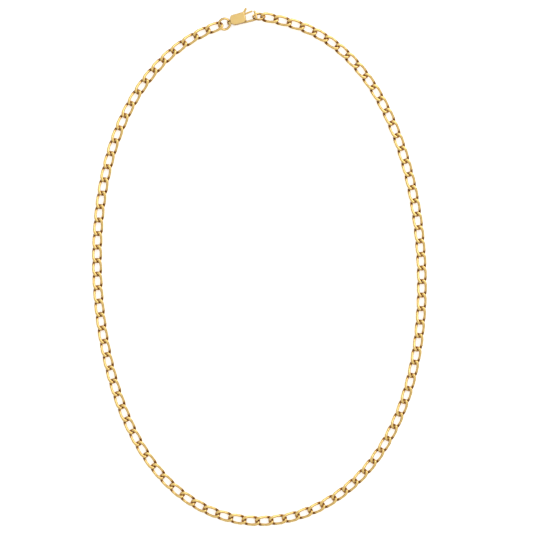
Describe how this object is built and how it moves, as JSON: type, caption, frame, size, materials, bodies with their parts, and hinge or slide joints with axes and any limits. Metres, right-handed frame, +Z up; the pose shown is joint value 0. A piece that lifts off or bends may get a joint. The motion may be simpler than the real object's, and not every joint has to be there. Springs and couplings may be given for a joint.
{
  "type": "chain necklace",
  "caption": "open curb chain necklace of twisted oval wire links, closed in a loop by a trigger clasp between two jump rings, laid flat in an oval",
  "frame": {"origin": "centre of the outline of the laid-out loop, on the surface it lies on", "axes": "X across the oval, Y along the oval with the clasp at +Y, Z up from the surface"},
  "size_m": [0.1142, 0.1767, 0.0037],
  "materials": {
    "link_gold": "polished",
    "ring_gold": "polished",
    "clasp_gold": "satin face, polished edges",
    "spring_wire": "drawn wire"
  },
  "bodies": {
    "clasp": {"clasp_body": "clasp_gold", "trigger_pin": "clasp_gold", "trigger_spring": "spring_wire"},
    "trigger": {"clasp_trigger": "clasp_gold"},
    "jump_rings": {"jump_ring_hook": "ring_gold", "jump_ring_eye": "ring_gold"},
    "row_01": {"link_pair_01": "link_gold"},
    "row_02": {"link_pair_02": "link_gold"},
    "row_03": {"link_pair_03": "link_gold"},
    "row_04": {"link_pair_04": "link_gold"},
    "row_05": {"link_pair_05": "link_gold"},
    "row_06": {"link_pair_06": "link_gold"},
    "row_07": {"link_pair_07": "link_gold"},
    "row_08": {"link_pair_08": "link_gold"},
    "row_09": {"link_pair_09": "link_gold"},
    "row_10": {"link_pair_10": "link_gold"},
    "row_11": {"link_pair_11": "link_gold"},
    "row_12": {"link_pair_12": "link_gold"},
    "row_13": {"link_pair_13": "link_gold"},
    "row_14": {"link_pair_14": "link_gold"},
    "row_15": {"link_pair_15": "link_gold"},
    "row_16": {"link_pair_16": "link_gold"},
    "row_17": {"link_pair_17": "link_gold"},
    "row_18": {"link_pair_18": "link_gold"},
    "row_19": {"link_pair_19": "link_gold"},
    "row_20": {"link_pair_20": "link_gold"},
    "row_21": {"link_pair_21": "link_gold"},
    "row_22": {"link_pair_22": "link_gold"},
    "row_23": {"link_pair_23": "link_gold"},
    "row_24": {"link_pair_24": "link_gold"},
    "row_25": {"link_pair_25": "link_gold"},
    "row_26": {"link_pair_26": "link_gold"},
    "row_27": {"link_pair_27": "link_gold"},
    "row_28": {"link_pair_28": "link_gold"},
    "row_29": {"link_pair_29": "link_gold"},
    "row_30": {"link_pair_30": "link_gold"},
    "row_31": {"link_pair_31": "link_gold"},
    "row_32": {"link_pair_32": "link_gold"},
    "row_33": {"link_pair_33": "link_gold"},
    "row_34": {"link_pair_34": "link_gold"},
    "row_35": {"link_pair_35": "link_gold"},
    "row_36": {"link_pair_36": "link_gold"},
    "row_37": {"link_pair_37": "link_gold"},
    "row_38": {"link_pair_38": "link_gold"},
    "row_39": {"link_pair_39": "link_gold"},
    "row_40": {"link_pair_40": "link_gold"},
    "row_41": {"link_pair_41": "link_gold"},
    "row_42": {"link_pair_42": "link_gold"},
    "row_43": {"link_pair_43": "link_gold"},
    "row_44": {"link_pair_44": "link_gold"},
    "row_45": {"link_pair_45": "link_gold"},
    "row_46": {"link_pair_46": "link_gold"},
    "row_47": {"link_pair_47": "link_gold"},
    "bottom_link": {"link_bottom": "link_gold"}
  },
  "joints": [
    {"name": "trigger_pivot", "type": "hinge", "parent": "clasp", "child": "trigger", "pos_m": [-0.00573, 0.08606, 0.00158], "axis": [0.0848, 0.0202, -0.9962], "range_deg": [0, 12], "stiffness_Nm_per_rad": 0.0002, "springref_deg": -20.05},
    {"name": "ring_swivel", "type": "hinge", "parent": "clasp", "child": "jump_rings", "pos_m": [-0.01014, 0.08352, 0.00115], "axis": [-0.969, -0.2311, -0.0872], "range_deg": [-2, 12]},
    {"name": "row_01_fold", "type": "hinge", "parent": "jump_rings", "child": "row_01", "pos_m": [0.00115, 0.08546, 0.00168], "axis": [0.9807, 0.1922, 0.036], "range_deg": [-9, 2]},
    {"name": "row_02_fold", "type": "hinge", "parent": "row_01", "child": "row_02", "pos_m": [0.0057, 0.08463, 0.00129], "axis": [0.9881, 0.1536, 0.009], "range_deg": [-12, 12]},
    {"name": "row_03_fold", "type": "hinge", "parent": "row_02", "child": "row_03", "pos_m": [0.01018, 0.0835, 0.00113], "axis": [-0.9901, -0.1404, -0.0026], "range_deg": [-12, 13]},
    {"name": "row_04_fold", "type": "hinge", "parent": "row_03", "child": "row_04", "pos_m": [0.01459, 0.08212, 0.00107], "axis": [-0.9906, -0.137, -0.0008], "range_deg": [-13, 12]},
    {"name": "row_05_fold", "type": "hinge", "parent": "row_04", "child": "row_05", "pos_m": [0.01882, 0.08027, 0.00105], "axis": [-0.991, -0.1337, -0.0003], "range_deg": [-13, 13]},
    {"name": "row_06_fold", "type": "hinge", "parent": "row_05", "child": "row_06", "pos_m": [0.02283, 0.07798, 0.00104], "axis": [-0.9915, -0.1301, -0.0001], "range_deg": [-14, 13]},
    {"name": "row_07_fold", "type": "hinge", "parent": "row_06", "child": "row_07", "pos_m": [0.02659, 0.07529, 0.00103], "axis": [0.992, 0.1265, 0], "range_deg": [-14, 15]},
    {"name": "row_08_fold", "type": "hinge", "parent": "row_07", "child": "row_08", "pos_m": [0.03006, 0.07224, 0.00103], "axis": [0.9924, 0.123, 0], "range_deg": [-15, 15]},
    {"name": "row_09_fold", "type": "hinge", "parent": "row_08", "child": "row_09", "pos_m": [0.03325, 0.0689, 0.00103], "axis": [0.9928, 0.1197, 0], "range_deg": [-17, 16]},
    {"name": "row_10_fold", "type": "hinge", "parent": "row_09", "child": "row_10", "pos_m": [0.03616, 0.06531, 0.00103], "axis": [0.9932, 0.1167, 0], "range_deg": [-17, 17]},
    {"name": "row_11_fold", "type": "hinge", "parent": "row_10", "child": "row_11", "pos_m": [0.03879, 0.06151, 0.00103], "axis": [-0.9935, -0.1141, 0], "range_deg": [-17, 17]},
    {"name": "row_12_fold", "type": "hinge", "parent": "row_11", "child": "row_12", "pos_m": [0.04117, 0.05755, 0.00103], "axis": [-0.9937, -0.1117, 0], "range_deg": [-17, 17]},
    {"name": "row_13_fold", "type": "hinge", "parent": "row_12", "child": "row_13", "pos_m": [0.0433, 0.05345, 0.00103], "axis": [-0.994, -0.1098, 0], "range_deg": [-17, 17]},
    {"name": "row_14_fold", "type": "hinge", "parent": "row_13", "child": "row_14", "pos_m": [0.04522, 0.04925, 0.00103], "axis": [-0.9941, -0.1081, 0], "range_deg": [-17, 17]},
    {"name": "row_15_fold", "type": "hinge", "parent": "row_14", "child": "row_15", "pos_m": [0.04693, 0.04496, 0.00103], "axis": [0.9943, 0.1067, 0], "range_deg": [-17, 17]},
    {"name": "row_16_fold", "type": "hinge", "parent": "row_15", "child": "row_16", "pos_m": [0.04846, 0.0406, 0.00103], "axis": [0.9944, 0.1055, 0], "range_deg": [-17, 17]},
    {"name": "row_17_fold", "type": "hinge", "parent": "row_16", "child": "row_17", "pos_m": [0.04981, 0.03618, 0.00103], "axis": [0.9945, 0.1045, 0], "range_deg": [-17, 17]},
    {"name": "row_18_fold", "type": "hinge", "parent": "row_17", "child": "row_18", "pos_m": [0.051, 0.03172, 0.00103], "axis": [0.9946, 0.1038, 0], "range_deg": [-17, 18]},
    {"name": "row_19_fold", "type": "hinge", "parent": "row_18", "child": "row_19", "pos_m": [0.05203, 0.02721, 0.00103], "axis": [-0.9947, -0.1031, 0], "range_deg": [-18, 17]},
    {"name": "row_20_fold", "type": "hinge", "parent": "row_19", "child": "row_20", "pos_m": [0.05293, 0.02268, 0.00103], "axis": [-0.9947, -0.1026, 0], "range_deg": [-18, 18]},
    {"name": "row_21_fold", "type": "hinge", "parent": "row_20", "child": "row_21", "pos_m": [0.05368, 0.01812, 0.00103], "axis": [-0.9948, -0.1023, 0], "range_deg": [-18, 18]},
    {"name": "row_22_fold", "type": "hinge", "parent": "row_21", "child": "row_22", "pos_m": [0.0543, 0.01354, 0.00103], "axis": [-0.9948, -0.102, 0], "range_deg": [-18, 18]},
    {"name": "row_23_fold", "type": "hinge", "parent": "row_22", "child": "row_23", "pos_m": [0.05479, 0.00895, 0.00103], "axis": [0.9948, 0.1019, 0], "range_deg": [-18, 18]},
    {"name": "row_24_fold", "type": "hinge", "parent": "row_23", "child": "row_24", "pos_m": [0.05515, 0.00434, 0.00103], "axis": [0.9948, 0.1018, 0], "range_deg": [-18, 19]},
    {"name": "row_25_fold", "type": "hinge", "parent": "row_24", "child": "row_25", "pos_m": [0.05538, -0.00027, 0.00103], "axis": [0.9948, 0.1019, 0], "range_deg": [-18, 18]},
    {"name": "row_26_fold", "type": "hinge", "parent": "row_25", "child": "row_26", "pos_m": [0.05548, -0.00489, 0.00103], "axis": [0.9948, 0.102, 0], "range_deg": [-18, 18]},
    {"name": "row_27_fold", "type": "hinge", "parent": "row_26", "child": "row_27", "pos_m": [0.05544, -0.00951, 0.00103], "axis": [-0.9948, -0.1022, 0], "range_deg": [-18, 18]},
    {"name": "row_28_fold", "type": "hinge", "parent": "row_27", "child": "row_28", "pos_m": [0.05526, -0.01413, 0.00103], "axis": [-0.9947, -0.1026, 0], "range_deg": [-18, 18]},
    {"name": "row_29_fold", "type": "hinge", "parent": "row_28", "child": "row_29", "pos_m": [0.05494, -0.01874, 0.00103], "axis": [-0.9947, -0.103, 0], "range_deg": [-18, 17]},
    {"name": "row_30_fold", "type": "hinge", "parent": "row_29", "child": "row_30", "pos_m": [0.05447, -0.02333, 0.00103], "axis": [-0.9946, -0.1036, 0], "range_deg": [-18, 17]},
    {"name": "row_31_fold", "type": "hinge", "parent": "row_30", "child": "row_31", "pos_m": [0.05384, -0.02791, 0.00103], "axis": [0.9945, 0.1044, 0], "range_deg": [-17, 17]},
    {"name": "row_32_fold", "type": "hinge", "parent": "row_31", "child": "row_32", "pos_m": [0.05303, -0.03246, 0.00103], "axis": [0.9944, 0.1053, 0], "range_deg": [-17, 17]},
    {"name": "row_33_fold", "type": "hinge", "parent": "row_32", "child": "row_33", "pos_m": [0.05204, -0.03697, 0.00103], "axis": [0.9943, 0.1064, 0], "range_deg": [-17, 17]},
    {"name": "row_34_fold", "type": "hinge", "parent": "row_33", "child": "row_34", "pos_m": [0.05086, -0.04144, 0.00103], "axis": [0.9942, 0.1077, 0], "range_deg": [-17, 17]},
    {"name": "row_35_fold", "type": "hinge", "parent": "row_34", "child": "row_35", "pos_m": [0.04947, -0.04584, 0.00103], "axis": [-0.994, -0.1093, 0], "range_deg": [-17, 17]},
    {"name": "row_36_fold", "type": "hinge", "parent": "row_35", "child": "row_36", "pos_m": [0.04785, -0.05017, 0.00103], "axis": [-0.9938, -0.1112, 0], "range_deg": [-17, 17]},
    {"name": "row_37_fold", "type": "hinge", "parent": "row_36", "child": "row_37", "pos_m": [0.046, -0.0544, 0.00103], "axis": [-0.9936, -0.1134, 0], "range_deg": [-17, 17]},
    {"name": "row_38_fold", "type": "hinge", "parent": "row_37", "child": "row_38", "pos_m": [0.04389, -0.05851, 0.00103], "axis": [-0.9933, -0.1158, 0], "range_deg": [-17, 17]},
    {"name": "row_39_fold", "type": "hinge", "parent": "row_38", "child": "row_39", "pos_m": [0.04151, -0.06247, 0.00103], "axis": [0.9929, 0.1186, 0], "range_deg": [-16, 16]},
    {"name": "row_40_fold", "type": "hinge", "parent": "row_39", "child": "row_40", "pos_m": [0.03886, -0.06626, 0.00103], "axis": [0.9926, 0.1216, 0], "range_deg": [-15, 15]},
    {"name": "row_41_fold", "type": "hinge", "parent": "row_40", "child": "row_41", "pos_m": [0.03593, -0.06983, 0.00103], "axis": [0.9922, 0.1247, 0], "range_deg": [-14, 14]},
    {"name": "row_42_fold", "type": "hinge", "parent": "row_41", "child": "row_42", "pos_m": [0.03272, -0.07315, 0.00103], "axis": [0.9918, 0.1279, 0], "range_deg": [-13, 14]},
    {"name": "row_43_fold", "type": "hinge", "parent": "row_42", "child": "row_43", "pos_m": [0.02924, -0.07619, 0.00103], "axis": [-0.9914, -0.131, 0], "range_deg": [-13, 13]},
    {"name": "row_44_fold", "type": "hinge", "parent": "row_43", "child": "row_44", "pos_m": [0.0255, -0.0789, 0.00103], "axis": [-0.991, -0.1338, 0], "range_deg": [-13, 12]},
    {"name": "row_45_fold", "type": "hinge", "parent": "row_44", "child": "row_45", "pos_m": [0.02152, -0.08125, 0.00103], "axis": [-0.9907, -0.1362, 0], "range_deg": [-12, 12]},
    {"name": "row_46_fold", "type": "hinge", "parent": "row_45", "child": "row_46", "pos_m": [0.01734, -0.08321, 0.00103], "axis": [-0.9904, -0.1381, 0], "range_deg": [-12, 12]},
    {"name": "row_47_fold", "type": "hinge", "parent": "row_46", "child": "row_47", "pos_m": [0.01299, -0.08476, 0.00103], "axis": [0.9902, 0.1394, 0], "range_deg": [-11, 12]},
    {"name": "bottom_link_turn", "type": "hinge", "parent": "row_47", "child": "bottom_link", "pos_m": [0.0085, -0.08587, 0.00103], "axis": [0.9901, 0.14, 0], "range_deg": [-11, 11]}
  ]
}
